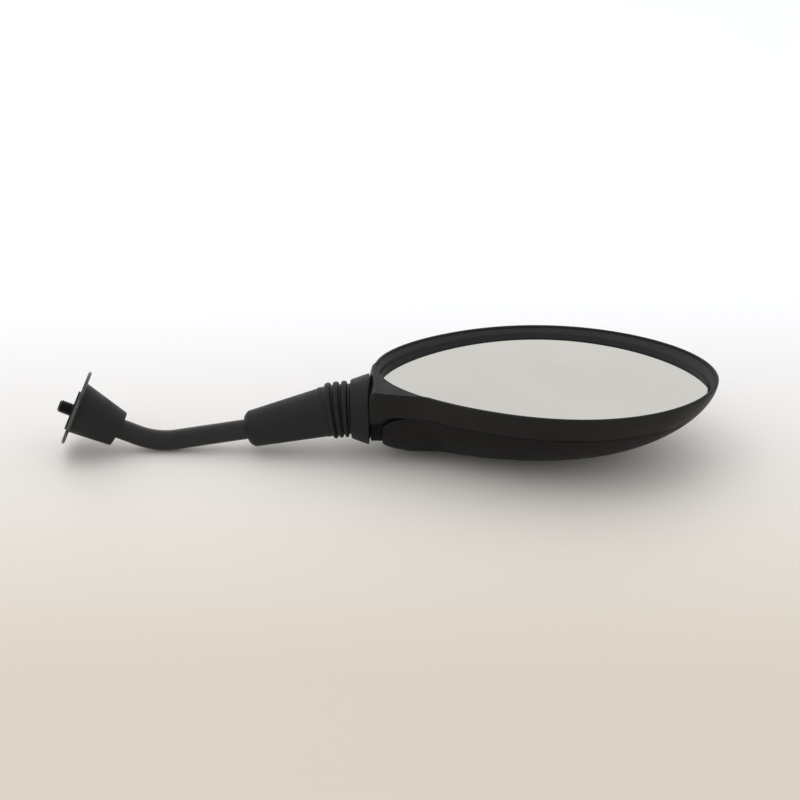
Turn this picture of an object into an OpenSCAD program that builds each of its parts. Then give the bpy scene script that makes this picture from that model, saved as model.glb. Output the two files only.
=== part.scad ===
// Motorcycle mirror with a bent steel stem, a ball joint under a ribbed rubber boot and an oval head.
// Millimetres. The origin is the centre of the mounting face; +X runs along the mirror, +Z is up.

/* [Stem] */
// Diameter of the stem
stem_d = 12; // [11.5:0.5:12.5]
// Slope of the stem's foot, down from the mounting face, in degrees
foot_slope = 24; // [20:1:28]
// Slope of the stem's middle leg, upward, in degrees
leg_slope = 9.4; // [6:0.2:12]
// Slope of the stem's last leg at the ball, upward, in degrees
neck_slope = 14.4; // [12:0.2:17]
// Length of the foot, from the mounting face to the first bend's corner
foot_leg = 53.3; // [48:0.1:60]
// Length of the middle leg, from corner to corner
mid_leg = 61.4; // [50:0.1:70]
// Length of the last leg, from the second corner to the ball's centre
end_leg = 50.6; // [49:0.1:60]
// Radius of the bends along the centre line
bend_r = 42; // [34:1:46]

/* [Base] */
// Major diameter of the threaded stud
stud_d = 8; // [7:0.5:8.5]
// Length of the stud beyond the mounting face
stud_reach = 8; // [6:0.5:14]
// Distance from the mounting face to the stem's shoulder
shoulder_at = 14; // [13:0.5:16]
// Radial clearance of the washers and nut round the stud
stud_gap = 0.1; // [0.05:0.01:0.2]
// Diameter of the rubber seat pad
pad_d = 24; // [20:1:28]
// Thickness of the rubber seat pad
pad_t = 1.2; // [1:0.1:1.6]
// Diameter of the base flange
flange_d = 45.5; // [42:0.5:50]
// Thickness of the base flange
flange_t = 2; // [1.6:0.1:2.4]
// Offset of the flange's centre from the stud, toward the upper side
flange_shift = 2.7; // [1:0.1:3.5]
// Diameter of the plain washer under the nut
washer_d = 16; // [14:0.5:17]
// Thickness of the plain washer
washer_t = 1.6; // [1.2:0.1:2]
// Width across flats of the lock nut
nut_af = 13; // [12:0.5:14]
// Height of the lock nut
nut_h = 6.5; // [5:0.5:7]
// Diameter of the base boot at the flange
boot_base_d = 31; // [29:0.5:34]
// Diameter of the base boot at its small end
boot_top_d = 22.5; // [21:0.5:25]
// Length of the base boot along its own axis
boot_len = 25; // [23:0.5:28]
// Tilt of the base boot against the stem, in degrees
boot_tilt = 7.5; // [4:0.5:8]
// Radial clearance of the rubber round the stem
boot_gap = 0.15; // [0.1:0.05:0.3]

/* [Ball Joint] */
// Diameter of the ball
ball_d = 16; // [15.6:0.1:16.2]
// Diameter of the spigot that carries the ball
spigot_d = 7; // [6.6:0.1:7.2]
// Radial clearance between the ball's bore and the spigot
spigot_gap = 0.05; // [0.03:0.01:0.08]
// Distance from the ball's centre back to the stem's full diameter
spigot_len = 11; // [10.5:0.1:14]
// Radial clearance between the ball and its two cups
cup_gap = 0.05; // [0.03:0.01:0.08]
// Wall of the cups at the ball's equator
cup_wall = 1.5; // [1.3:0.1:1.6]
// Radial clearance of the cups in the neck tube
tube_gap = 0.05; // [0.03:0.01:0.08]
// Wall of the neck tube under the collar nut
tube_wall = 1.4; // [1.2:0.1:1.5]
// Wall of the collar nut
nut_wall = 1.2; // [1:0.1:1.3]
// Wire diameter of the tension spring
spring_wire = 1.2; // [1:0.1:1.3]
// Active turns of the tension spring
spring_turns = 2; // [1:1:3]

/* [Neck Boot] */
// Diameter of the sleeve at the stem end
sleeve_small_d = 21.4; // [20:0.2:24]
// Diameter of the sleeve at its lip
sleeve_big_d = 29.4; // [29:0.2:31]
// Distance from the ball's centre back to the sleeve's small end
sleeve_reach = 51; // [48:0.5:54]
// Distance from the ball's centre back to the sleeve's lip
lip_at = 8.4; // [8:0.1:9]
// Outer diameter of the ribs
rib_d = 33.4; // [32.6:0.2:35]
// Outer diameter of the grooves between the ribs
groove_d = 30.4; // [30.2:0.1:31]
// Diameter of the collar where it leaves the ribs
collar_small_d = 35.4; // [34.6:0.2:37]
// Diameter of the collar at the head
collar_big_d = 42; // [41:0.5:44]
// Distance from the ball's centre to the collar's end
collar_at = 17.6; // [17:0.1:18]
// Wall of the rubber
rubber_t = 1.2; // [1:0.1:1.3]

/* [Head] */
// Length of the head at the rim
head_len = 202; // [198:0.5:206]
// Width of the head at the rim
head_wide = 129.5; // [122:0.1:140]
// Depth of the head from the rim to its lowest point
head_depth = 48; // [46:0.5:54]
// Distance from the ball's centre to the rim's end at the neck
rim_start = 21; // [20.6:0.1:22]
// Sideways offset of the rim's middle from the neck axis
head_shift = 10.2; // [8:0.1:11]
// Height of the rim above the neck axis
rim_rise = 20.8; // [20.5:0.1:22]
// Bluntness of the rim's two ends
rim_blunt = 2.4; // [2:0.1:3.4]
// Slant of the rim's outline
rim_slant = 8.7; // [6:0.1:9.4]
// Taper of the rim toward its free end
rim_taper = 2.7; // [2:0.1:4]
// Distance from the ball's centre to the lowest point of the belly
keel_reach = 96; // [90:1:104]
// Sideways offset of the belly's lowest point
keel_shift = 7.4; // [5:0.1:9]
// Fullness of the belly's end at the neck
neck_full = 7.6; // [6.5:0.1:8.5]
// Fullness of the belly's free end
tip_full = 1.65; // [1.6:0.05:1.9]
// Fullness of the belly's sides toward the neck
neck_side_full = 2.6; // [2.3:0.1:3]
// Fullness of the belly's sides toward the free end
tip_side_full = 1.6; // [1.55:0.05:1.9]
// Wall of the front shell
shell_wall = 2.6; // [2.4:0.1:3]
// Wall of the rear cover
cover_wall = 2.2; // [2:0.1:2.6]
// Width of the rim's flat top edge
rim_edge = 1.4; // [1:0.1:1.8]
// Depth of the shut line below the rim
split_depth = 16; // [15.8:0.1:17]
// Extra depth of the shut line at the neck
split_drop = 5.1; // [4:0.1:6]
// Width of the shut line
split_gap = 0.4; // [0.3:0.05:0.6]
// Depth of the glass's crown below the rim
glass_depth = 2.8; // [2.4:0.1:3.2]
// Radius of the convex glass
glass_r = 1400; // [1300:50:1800]
// Thickness of the glass
glass_t = 2.4; // [2:0.1:2.6]
// Gap between the glass's edge and the shell
glass_gap = 0.4; // [0.3:0.05:0.6]
// Depth of the shell's floor below the rim
floor_depth = 9.8; // [9.6:0.1:10.4]
// Thickness of the shell's floor
floor_t = 2; // [1.6:0.1:2.2]
// Width of the neck where it meets the boot
neck_wide = 40; // [39:0.5:41]
// Diameter of the round stub under the neck
stub_d = 38; // [37:0.2:38.4]
// Gap between the stub and the rear cover
stub_gap = 0.3; // [0.2:0.05:0.5]
// Gap between the glass and its pad
pad_gap = 0.1; // [0.05:0.05:0.3]

/* [Screws] */
// Diameter of the cover screws
screw_d = 4; // [3.5:0.1:4.2]
// Length of the cover screws under the head
screw_len = 12; // [10:0.5:14]
// Diameter of the screws' heads
screw_head_d = 7; // [6.5:0.1:7.4]
// Height of the screws' heads
screw_head_h = 2.4; // [2:0.1:2.8]
// Diameter of the screw bosses
boss_d = 10.4; // [10:0.1:11.5]
// Thickness of the cover under each screw's head
seat_t = 2.5; // [2:0.1:3]
// Length of the front shell's bosses
boss_len = 14; // [13:0.5:16]
// Distance from the rim's end at the neck to the screw near it
neck_screw_at = 33; // [30:1:40]
// Distance of the other two screws beyond the middle of the rim
far_screws_at = 28; // [20:1:36]
// Distance of the other two screws to either side of the keel
screw_spread = 28; // [22:1:32]
// Radial clearance of the screws' threads
thread_gap = 0.05; // [0.03:0.01:0.1]

/* [Hidden] */
black = "#26262a";
rubber = "#1f1f22";
steel = "#8d9094";
zinc = "#b4b6b3";
round_fn = 64;

// Corner points of the stem's centre line in the X-Z plane
function along(slope, reach) = [reach * cos(slope), 0, reach * sin(slope)];
foot_corner = along(-foot_slope, foot_leg);
neck_corner = foot_corner + along(leg_slope, mid_leg);
ball_centre = neck_corner + along(neck_slope, end_leg);
function tangent_len(turn) = bend_r * tan(turn / 2);
foot_turn = foot_slope + leg_slope;
neck_turn = neck_slope - leg_slope;

// Layout of the base along the foot's axis
flange_at = pad_t;
washer_at = flange_at + flange_t;
nut_at = washer_at + washer_t;
boot_at = washer_at;
boot_cross = boot_at + flange_shift / tan(boot_tilt);
boot_room_r = washer_d / 2 + 1.5;
boot_round = 2;
stud_relief = 0.3;

// Layout of the joint along the neck axis, from the ball's centre
ball_r = ball_d / 2;
cup_r = ball_r + cup_gap;
cup_out = ball_r + cup_wall;
tube_r = cup_out + tube_gap;
tube_out = tube_r + tube_wall;
front_cup_at = -3.2;
front_cup_end = -0.6;
rear_cup_at = 0.8;
rear_cup_end = ball_r + 1.4;
cup_hole_r = 4.5;
washer_thick = 1;
washer_hole_r = 5;
washer_slack = 0.2;
spring_at = rear_cup_end + washer_thick;
tube_mouth = -2.4;
tube_floor = 18.4;
plug_len = 3;
nut_mouth_gap = 0.6;
nut_lip = 1.4;
nut_skirt = 9;
nut_bevel = 0.8;
nut_slack = 0.2;
rivet_t = 0.5;
rivet_rim = 0.4;
ball_flat = 5;
ball_back = 6.9;
spigot_r = spigot_d / 2;

// The straight legs run a little way into the bends, a hair thinner than them
overlap = 1;
leg_r = stem_d / 2 - 0.02;

// Skin of the head: rim outline, pulled in toward the keel with the depth
head_reach = rim_start + head_len / 2;
rim_half_len = head_len / 2 - rim_blunt;
function rim_x(t) = head_reach + rim_half_len * cos(t) + rim_blunt * cos(3 * t) - rim_slant * sin(t);
function rim_y(t) = head_shift + head_wide / 2 * sin(t) + rim_taper * sin(2 * t);
function tip_part(t) = (1 + cos(t)) / 2;
function end_full(t) = neck_full + (tip_full - neck_full) * tip_part(t);
function side_full(t) = neck_side_full + (tip_side_full - neck_side_full) * tip_part(t);
function pull(u, p) = pow(max(0, 1 - pow(u, p)), 1 / p);
function spoke(t, u) = [(rim_x(t) - keel_reach) * pull(u, end_full(t)),
                        (rim_y(t) - keel_shift) * pull(u, side_full(t))];
function skin(t, d, inset) =
    let (q = spoke(t, d / head_depth), k = 1 - inset / norm(q))
    [keel_reach + q.x * k, keel_shift + q.y * k, rim_rise - d];
function lining(t, d, inset) =
    let (q = spoke(t, d / (head_depth - inset)), k = 1 - inset / norm(spoke(t, 0)))
    [keel_reach + q.x * k, keel_shift + q.y * k, rim_rise - d];
// The shut line runs level along the sides and one step lower across the neck
step_start = 16.5;
step_len = 7;
function off_neck(t) = abs((t % 360) - 180);
function ease(k) = k * k * (3 - 2 * k);
function split_at(t) = split_depth
    + split_drop * (1 - ease(min(1, max(0, (off_neck(t) - step_start) / step_len))));
// Near the neck the skin is pushed out to a flat face that rounds back at its sides and top
neck_groove = 0.5;
neck_at = collar_at + neck_groove;
neck_flat = neck_wide / 2 - 2;
neck_side = 0.35;
neck_crown_at = 12;
neck_crown = 2.9;
neck_soft = 4;
neck_range = 70;
function neck_face(p) = neck_at + neck_side * pow(max(0, abs(p.y) - neck_flat), 2)
    + neck_crown * pow(max(0, p.z - neck_crown_at) / (rim_rise - neck_crown_at), 2);
function soft_min(a, b, k) = min(a, b) - pow(max(0, k - abs(a - b)), 2) / (4 * k);
function pushed(p, inset = 0) = (p.x > neck_range) ? p
    : [max(neck_at + inset, soft_min(p.x, neck_face(p) + inset, neck_soft)), p.y, p.z];
// Rim angles lie closer together at the neck than at the free end
rim_steps = 72;
angle_shift = 25;
angles = [for (i = [0 : rim_steps - 1]) let (a = i * 360 / rim_steps) a + angle_shift * sin(a)];
function ring(d, inset) = [for (t = angles) skin(t, d, inset)];
shell_rows = 6;
cover_rows = 12;
stub_step = 0.8;
stub_top = rim_rise - floor_depth - floor_t / 2;
stub_len = 13;
recess_len = 7.5;
recess_gap = 0.9;
// Glass: rings that shrink toward the middle of the opening, on a sphere of large radius
glass_middle = [head_reach, head_shift];
function crown(p) = -(pow(p.x - glass_middle.x, 2) + pow(p.y - glass_middle.y, 2)) / (2 * glass_r);
function toward_middle(p, k) = [glass_middle.x + (p.x - glass_middle.x) * k,
                                glass_middle.y + (p.y - glass_middle.y) * k];
glass_fractions = [1, 0.75, 0.5, 0.25];
pad_share = 0.97;
pad_foot = 0.94;
glass_inset = shell_wall + glass_gap;
function glass_edge(t) = skin(t, glass_depth + glass_t - crown([rim_x(t), rim_y(t)]), glass_inset);
function glass_ring(k, z, drop) = [for (t = angles) let (p = toward_middle(glass_edge(t), k))
    [p.x, p.y, z + drop * crown(p)]];

// Screw places on the head: [along the neck axis, sideways]
neck_screw_back = 8.2;
well_gap = 0.4;
hole_gap = 0.2;
screw_places = [[rim_start + neck_screw_at, head_shift - neck_screw_back],
                [head_reach + far_screws_at, keel_shift + screw_spread],
                [head_reach + far_screws_at, keel_shift - screw_spread]];
boss_top = rim_rise - floor_depth - floor_t;
boss_foot = boss_top - boss_len;

// A closed solid from a stack of rings that all have the same number of points
function wall_faces(rows, n) = [for (r = [0 : rows - 2]) for (i = [0 : n - 1])
    let (j = (i + 1) % n, a = r * n + i, b = r * n + j, c = (r + 1) * n + j, d = (r + 1) * n + i)
    each [[a, b, c], [a, c, d]]];
module stack(rings, looped = false) {
    n = len(rings[0]);
    rows = len(rings);
    first = [for (i = [0 : n - 1]) n - 1 - i];
    last = [for (i = [0 : n - 1]) (rows - 1) * n + i];
    caps = looped ? [] : [first, last];
    points = [for (r = rings) each r, if (looped) each rings[0]];
    walls = wall_faces(looped ? rows + 1 : rows, n);
    polyhedron(points = points, faces = concat(caps, walls), convexity = 10);
}

module on_foot(s = 0) {
    rotate([0, 90 + foot_slope, 0]) translate([0, 0, s]) children();
}
module on_last_leg(s = 0) {
    translate(ball_centre) rotate([0, 90 - neck_slope, 0]) translate([0, 0, s]) children();
}
module on_neck(s = 0) {
    translate(ball_centre) rotate([0, 90, 0]) translate([0, 0, s]) children();
}
module on_head() {
    translate(ball_centre) children();
}
module tube(r, hole, h) {
    difference() {
        cylinder(r = r, h = h, $fn = round_fn);
        translate([0, 0, -1]) cylinder(r = hole, h = h + 2, $fn = round_fn);
    }
}
module leg(start, slope, reach) {
    translate(start - along(slope, overlap)) rotate([0, 90 - slope, 0])
        cylinder(r = leg_r, h = reach + 2 * overlap, $fn = round_fn);
}
// Bend that starts at a point with a given downward slope and turns upward
module bend(start, slope, turn) {
    centre = start + [bend_r * sin(slope), 0, bend_r * cos(slope)];
    translate(centre) rotate([90, 0, 0]) rotate([0, 0, -90 - slope])
        rotate_extrude(angle = turn, $fn = 96) translate([bend_r, 0]) circle(d = stem_d, $fn = round_fn);
}

module stem() color(steel) {
    foot_t = tangent_len(foot_turn);
    neck_t = tangent_len(neck_turn);
    foot_end = foot_leg - foot_t;
    end_start = end_leg - neck_t;
    rivet_at = ball_flat + spigot_gap;
    on_foot() rotate_extrude($fn = round_fn)
        polygon([[0, -stud_reach], [stud_d / 2 - 1, -stud_reach], [stud_d / 2, 1 - stud_reach],
                 [stud_d / 2, 0], [stud_d / 2 - stud_relief, stud_relief],
                 [stud_d / 2 - stud_relief, shoulder_at], [leg_r - 1, shoulder_at], [leg_r, shoulder_at + 1],
                 [leg_r, foot_end + overlap], [0, foot_end + overlap]]);
    bend(along(-foot_slope, foot_end), foot_slope, foot_turn);
    leg(foot_corner + along(leg_slope, foot_t), leg_slope, mid_leg - foot_t - neck_t);
    bend(neck_corner - along(leg_slope, neck_t), -leg_slope, neck_turn);
    on_last_leg() rotate_extrude($fn = round_fn)
        polygon([[0, -end_start - overlap], [leg_r, -end_start - overlap], [leg_r, -spigot_len - 2],
                 [spigot_r, -spigot_len], [spigot_r, rivet_at], [spigot_r + rivet_rim, rivet_at],
                 [spigot_r + rivet_rim, rivet_at + rivet_t], [0, rivet_at + rivet_t]]);
}

module seat_pad() color(rubber) {
    on_foot() tube(pad_d / 2, stud_d / 2 + stud_gap, pad_t);
}
module base_flange() color(black) {
    on_foot(flange_at) difference() {
        translate([-flange_shift, 0, 0]) rotate_extrude($fn = round_fn) union() {
            square([flange_d / 2 - flange_t / 2, flange_t]);
            translate([flange_d / 2 - flange_t / 2, flange_t / 2]) circle(d = flange_t, $fn = 32);
        }
        translate([0, 0, -1]) cylinder(r = stud_d / 2 + stud_gap, h = flange_t + 2, $fn = round_fn);
    }
}
module lock_washer() color(zinc) {
    on_foot(washer_at) tube(washer_d / 2, stud_d / 2 + stud_gap, washer_t);
}
module lock_nut() color(zinc) {
    on_foot(nut_at) difference() {
        cylinder(r = nut_af / 2 / cos(30), h = nut_h, $fn = 6);
        translate([0, 0, -1]) cylinder(r = stud_d / 2 + stud_gap, h = nut_h + 2, $fn = round_fn);
    }
}
// A straight cone whose axis leans against the stem, cut square where it stands on the flange
module base_boot() color(rubber) {
    tip = boot_len - (boot_cross - boot_at) / cos(boot_tilt);
    grow = (boot_base_d - boot_top_d) / 2 / boot_len;
    spare = 6;
    on_foot() difference() {
        translate([0, 0, boot_cross]) rotate([0, boot_tilt, 0]) rotate_extrude($fn = 96)
            polygon([[0, tip], [boot_top_d / 2 - boot_round, tip],
                     [boot_top_d / 2 - boot_round * 0.3, tip - boot_round * 0.3],
                     [boot_top_d / 2, tip - boot_round],
                     [boot_base_d / 2 + grow * spare, tip - boot_len - spare],
                     [0, tip - boot_len - spare]]);
        translate([-flange_d, -flange_d, boot_at - boot_len]) cube([2 * flange_d, 2 * flange_d, boot_len]);
        translate([0, 0, boot_at - 1])
            cylinder(r = boot_room_r, h = shoulder_at - boot_at + 2.5, $fn = round_fn);
        cylinder(r = stem_d / 2 + boot_gap, h = 2 * boot_len, $fn = round_fn);
    }
}

function sleeve_r(s) = (sleeve_small_d + (sleeve_big_d - sleeve_small_d)
    * (sleeve_reach + s) / (sleeve_reach - lip_at)) / 2;
// The boot's centre line: straight on the last leg and on the neck axis, an arc across the ribs
flex_len = 9;
flex_r = flex_len / tan(neck_slope / 2);
flex_hub = [flex_r * sin(neck_slope) - flex_len * cos(neck_slope),
            -flex_r * cos(neck_slope) - flex_len * sin(neck_slope)];
function lean(s) = neck_slope * min(1, max(0, (flex_len - s) / (2 * flex_len)));
function centre_line(s) = (s < -flex_len) ? [s * cos(neck_slope), s * sin(neck_slope)]
    : ((s > flex_len) ? [s, 0]
    : flex_hub + flex_r * [-sin(lean(s)), cos(lean(s))]);
boot_sides = 40;
function boot_ring(s, r) = let (c = centre_line(s), a = lean(s)) [for (i = [0 : boot_sides - 1])
    let (b = 360 * i / boot_sides) [c.x - r * cos(b) * sin(a), r * sin(b), c.y + r * cos(b) * cos(a)]];
rib_places = [-4.2, -0.1, 4];
rib_half = 1.6;
rib_round = 0.6;
module neck_boot() color(rubber) {
    bore = stem_d / 2 + boot_gap;
    groove = groove_d / 2;
    room = groove - rubber_t;
    top = rib_d / 2;
    collar_wall = 3;
    sleeve = [[-sleeve_reach, bore], [-sleeve_reach, sleeve_small_d / 2 - 2],
              [-sleeve_reach + 2.5, sleeve_r(-sleeve_reach + 2.5)],
              [-lip_at - 1.6, sleeve_r(-lip_at - 1.6)], [-lip_at - 1, sleeve_big_d / 2 + 0.3],
              [-lip_at, sleeve_big_d / 2 + 0.3], [-lip_at + 0.6, groove]];
    ribs = [for (c = rib_places) each [[c - rib_half, groove], [c - rib_half + 0.4, top - rib_round],
            [c - rib_round, top], [c + rib_round, top], [c + rib_half - 0.4, top - rib_round],
            [c + rib_half, groove]]];
    collar = [[6.9, groove], [7.3, collar_small_d / 2 - 0.6], [8, collar_small_d / 2],
              [collar_at - 1.4, collar_big_d / 2 - 0.3], [collar_at - 0.7, collar_big_d / 2],
              [collar_at, collar_big_d / 2 - 0.4]];
    inside = [[collar_at, collar_big_d / 2 - collar_wall], [8, collar_small_d / 2 - collar_wall],
              [6, room], [-9, room], [-20, sleeve_r(-20) - rubber_t - 1], [-32, bore + 1], [-33, bore]];
    translate(ball_centre)
        stack([for (p = concat(sleeve, ribs, collar, inside)) boot_ring(p[0], p[1])], looped = true);
}

module ball() color(zinc) {
    on_last_leg() difference() {
        sphere(r = ball_r, $fn = round_fn);
        translate([0, 0, -ball_d]) cylinder(r = spigot_r + spigot_gap, h = 2 * ball_d, $fn = round_fn);
        translate([-ball_r, -ball_r, ball_flat]) cube([ball_d, ball_d, ball_r]);
        translate([-ball_r, -ball_r, -ball_r - ball_back]) cube([ball_d, ball_d, ball_r]);
    }
}
// Ring between two planes, hollowed by the ball
module cup(from, to) {
    on_neck() difference() {
        translate([0, 0, from]) cylinder(r = cup_out, h = to - from, $fn = round_fn);
        sphere(r = cup_r, $fn = round_fn);
    }
}
module front_cup() color("ivory") cup(front_cup_at, front_cup_end);
module rear_cup() color("ivory") difference() {
    cup(rear_cup_at, rear_cup_end);
    on_neck(ball_r - 2) cylinder(r = cup_hole_r, h = 6, $fn = round_fn);
}
module thrust_washer() color(zinc) {
    on_neck(rear_cup_end) tube(cup_out - washer_slack, washer_hole_r, washer_thick);
}
// Compression spring with a closed turn at each end
spring_gap = 0.3;
closed_pitch = spring_wire * 1.02;
spring_low = spring_at + spring_wire / 2;
spring_rise = tube_floor - spring_gap - spring_at - spring_wire;
open_pitch = (spring_rise - 2 * closed_pitch) / spring_turns;
function lift(turn) = (turn < 1) ? turn * closed_pitch
    : ((turn > spring_turns + 1) ? spring_rise - (spring_turns + 2 - turn) * closed_pitch
    : closed_pitch + (turn - 1) * open_pitch);
module tension_spring() color(steel) {
    mean_r = cup_out - 0.5 - spring_wire / 2;
    steps = 18;
    sides = 6;
    rings = [for (i = [0 : (spring_turns + 2) * steps]) let (turn = i / steps, a = 360 * turn)
        [for (k = [0 : sides - 1]) let (b = 360 * k / sides, r = mean_r + spring_wire / 2 * cos(b))
            [r * cos(a), r * sin(a), spring_low + lift(turn) + spring_wire / 2 * sin(b)]]];
    on_neck() stack(rings);
}
// Cap nut on the neck tube; its lip holds the front cup
module collar_nut() color(zinc) {
    nut_face = front_cup_at - nut_lip;
    nut_r = tube_out + nut_wall;
    mouth_r = ball_r + nut_mouth_gap;
    on_neck() rotate_extrude($fn = round_fn)
        polygon([[mouth_r, nut_face], [nut_r - nut_bevel, nut_face], [nut_r, nut_face + nut_bevel],
                 [nut_r, nut_skirt + nut_face], [tube_out + stud_gap, nut_skirt + nut_face],
                 [tube_out + stud_gap, tube_mouth - nut_slack], [cup_out + nut_slack, tube_mouth - nut_slack],
                 [cup_out + nut_slack, front_cup_at], [mouth_r, front_cup_at]]);
}

// Blind tube in the neck, with the cups and the spring inside and the collar nut on its mouth
module ball_housing() color(zinc) {
    on_neck() rotate_extrude($fn = round_fn)
        polygon([[tube_r, tube_mouth], [tube_out, tube_mouth], [tube_out, tube_floor + plug_len],
                 [0, tube_floor + plug_len], [0, tube_floor], [tube_r, tube_floor]]);
}

// The inside of the whole head, as one closed solid
module head_core(inset) {
    floor_d = head_depth - inset;
    stack([for (k = [0 : cover_rows - 1]) [for (t = angles)
        lining(t, floor_d * sin(90 * k / cover_rows) * 0.999, inset)]]);
}
// Tray with the rim, the side wall down to the shut line and the floor under the glass
module tray() {
    inner_rows = [for (k = [0 : 3]) ring(floor_depth - (floor_depth - 1) * k / 3, shell_wall)];
    top_rows = [for (inset = [(shell_wall + rim_edge) / 2, (shell_wall - rim_edge) / 2])
        [for (t = angles) pushed(skin(t, 0, inset), inset)]];
    outer_rows = [for (k = [0 : shell_rows]) [for (t = angles)
        pushed(skin(t, 1 + (split_at(t) - 1) * k / shell_rows, 0))]];
    edge_row = [for (t = angles) skin(t, split_at(t), shell_wall)];
    under_row = ring(floor_depth + floor_t, shell_wall);
    stack(concat(inner_rows, top_rows, outer_rows, [edge_row, under_row]));
}
// Lower half of the round neck, under the skin of the front shell
module neck_stub(grow, reach) {
    rotate([0, 90, 0]) cylinder(r = stub_d / 2 + grow, h = reach, $fn = round_fn);
}
module front_shell() color(black) {
    on_head() {
        difference() {
            union() {
                tray();
                intersection() {
                    translate([neck_at + stub_step, 0, 0]) neck_stub(0, stub_len);
                    translate([0, -stub_d, -stub_d]) cube([2 * stub_d, 2 * stub_d, stub_d + stub_top]);
                }
                for (p = screw_places) translate([p.x, p.y, boss_foot])
                    cylinder(d = boss_d, h = boss_len + floor_t / 2, $fn = 48);
            }
            rotate([0, 90, 0])
                cylinder(r = tube_out + tube_gap, h = tube_floor + plug_len + tube_gap, $fn = round_fn);
            for (p = screw_places) translate([p.x, p.y, boss_foot - 1])
                cylinder(r = screw_d / 2 + thread_gap, h = screw_len - seat_t + 2, $fn = round_fn);
        }
    }
}
module cover_bowl() {
    inner_depth = head_depth - cover_wall;
    inner_rows = cover_rows - 4;
    function edge(t) = split_at(t) + split_gap;
    function row_depth(t, part, total) = let (start = asin(edge(t) / total))
        total * sin(start + (90 - start) * part);
    inner = [for (k = [inner_rows - 1 : -1 : 0]) [for (t = angles)
        lining(t, row_depth(t, k / inner_rows, inner_depth), cover_wall)]];
    outer = [for (k = [0 : cover_rows - 1]) [for (t = angles)
        skin(t, row_depth(t, k / cover_rows, head_depth), 0)]];
    stack(concat([keel_spot(cover_wall)], inner, outer, [keel_spot(0)]));
}
function keel_spot(lift) = [for (t = angles)
    [keel_reach + cos(t) / 2, keel_shift + sin(t) / 2, rim_rise - head_depth + lift]];
module rear_cover() color(black) {
    on_head() difference() {
        union() {
            cover_bowl();
            intersection() {
                for (p = screw_places) translate([p.x, p.y, boss_foot - head_depth])
                    cylinder(d = boss_d, h = head_depth, $fn = 48);
                head_core(cover_wall / 2);
            }
        }
        neck_stub(stub_gap, neck_at + stub_step + stub_len + split_gap);
        neck_stub(recess_gap, collar_at + recess_len);
        for (p = screw_places) translate([p.x, p.y, boss_foot - seat_t]) {
            translate([0, 0, -head_depth])
                cylinder(r = screw_head_d / 2 + well_gap, h = head_depth, $fn = round_fn);
            translate([0, 0, -1]) cylinder(r = screw_d / 2 + hole_gap, h = seat_t + 2, $fn = round_fn);
        }
    }
}
module glass_pad() color("#303033") {
    floor_z = rim_rise - floor_depth;
    back = rim_rise - glass_depth - glass_t - pad_gap;
    on_head() stack(concat(
        [for (k = [3 : -1 : 0]) glass_ring(glass_fractions[k] * pad_share, back, 1)],
        [glass_ring(pad_foot, floor_z, 0)]));
}
module mirror_glass() color("#c9ccc8") {
    top = rim_rise - glass_depth;
    on_head() stack(concat(
        [for (k = [3 : -1 : 0]) glass_ring(glass_fractions[k], top, 1)],
        [for (k = [0 : 3]) glass_ring(glass_fractions[k], top - glass_t, 1)]));
}
module cover_screw(i) color(zinc) {
    on_head() translate([screw_places[i].x, screw_places[i].y, boss_foot - seat_t]) {
        cylinder(d = screw_d, h = screw_len, $fn = round_fn);
        translate([0, 0, -screw_head_h]) cylinder(d = screw_head_d, h = screw_head_h, $fn = round_fn);
    }
}

stem();
seat_pad();
base_flange();
lock_washer();
lock_nut();
base_boot();
neck_boot();
ball();
front_cup();
rear_cup();
thrust_washer();
tension_spring();
collar_nut();
ball_housing();
front_shell();
rear_cover();
glass_pad();
mirror_glass();
cover_screw(0);  // cover_screw_neck
cover_screw(1);  // cover_screw_far
cover_screw(2);  // cover_screw_near
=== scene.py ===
# %% [markdown]
# # A motorcycle mirror lying on a pale table
#
# The mirror is a bent steel bar with a threaded stud at one end and a moulded oval head at the
# other. Two rubber boots hide the joints: a plain cone over the lock nut and a long ribbed sleeve
# over the ball. The measured solids come first and stay as the frame for everything else: each new
# surface below is worked out from nearly the same lengths and angles, so that it lies on its solid
# or close to it.

# %% Load the solids
import numpy as np
import bpy
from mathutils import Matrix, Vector


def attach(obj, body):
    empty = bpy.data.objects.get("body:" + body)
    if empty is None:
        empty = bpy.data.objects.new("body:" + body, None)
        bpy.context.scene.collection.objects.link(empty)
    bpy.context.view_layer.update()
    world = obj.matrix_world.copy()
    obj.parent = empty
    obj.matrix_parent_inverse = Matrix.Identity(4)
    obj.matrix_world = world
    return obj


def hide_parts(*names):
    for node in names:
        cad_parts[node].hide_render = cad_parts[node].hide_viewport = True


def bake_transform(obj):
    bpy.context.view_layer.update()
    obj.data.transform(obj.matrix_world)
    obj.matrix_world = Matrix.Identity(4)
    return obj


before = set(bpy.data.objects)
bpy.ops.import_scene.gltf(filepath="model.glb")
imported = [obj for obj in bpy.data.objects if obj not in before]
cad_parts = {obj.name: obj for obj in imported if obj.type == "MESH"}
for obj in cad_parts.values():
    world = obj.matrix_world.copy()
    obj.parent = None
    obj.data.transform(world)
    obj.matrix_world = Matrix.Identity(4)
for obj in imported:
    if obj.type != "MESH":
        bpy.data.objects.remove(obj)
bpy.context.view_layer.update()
print("solids:", sorted(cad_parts))

# %% [markdown]
# ## Lengths and angles
#
# All of the shape functions work in millimetres and degrees, because that is how such a mirror is
# drawn; a last step turns millimetres into metres. The stem lies in one upright plane. It leaves
# the mounting face downward, bends up twice and ends in the ball. The centre of the ball is worked
# out from the three legs, as a bender would read them off the drawing.

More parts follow.
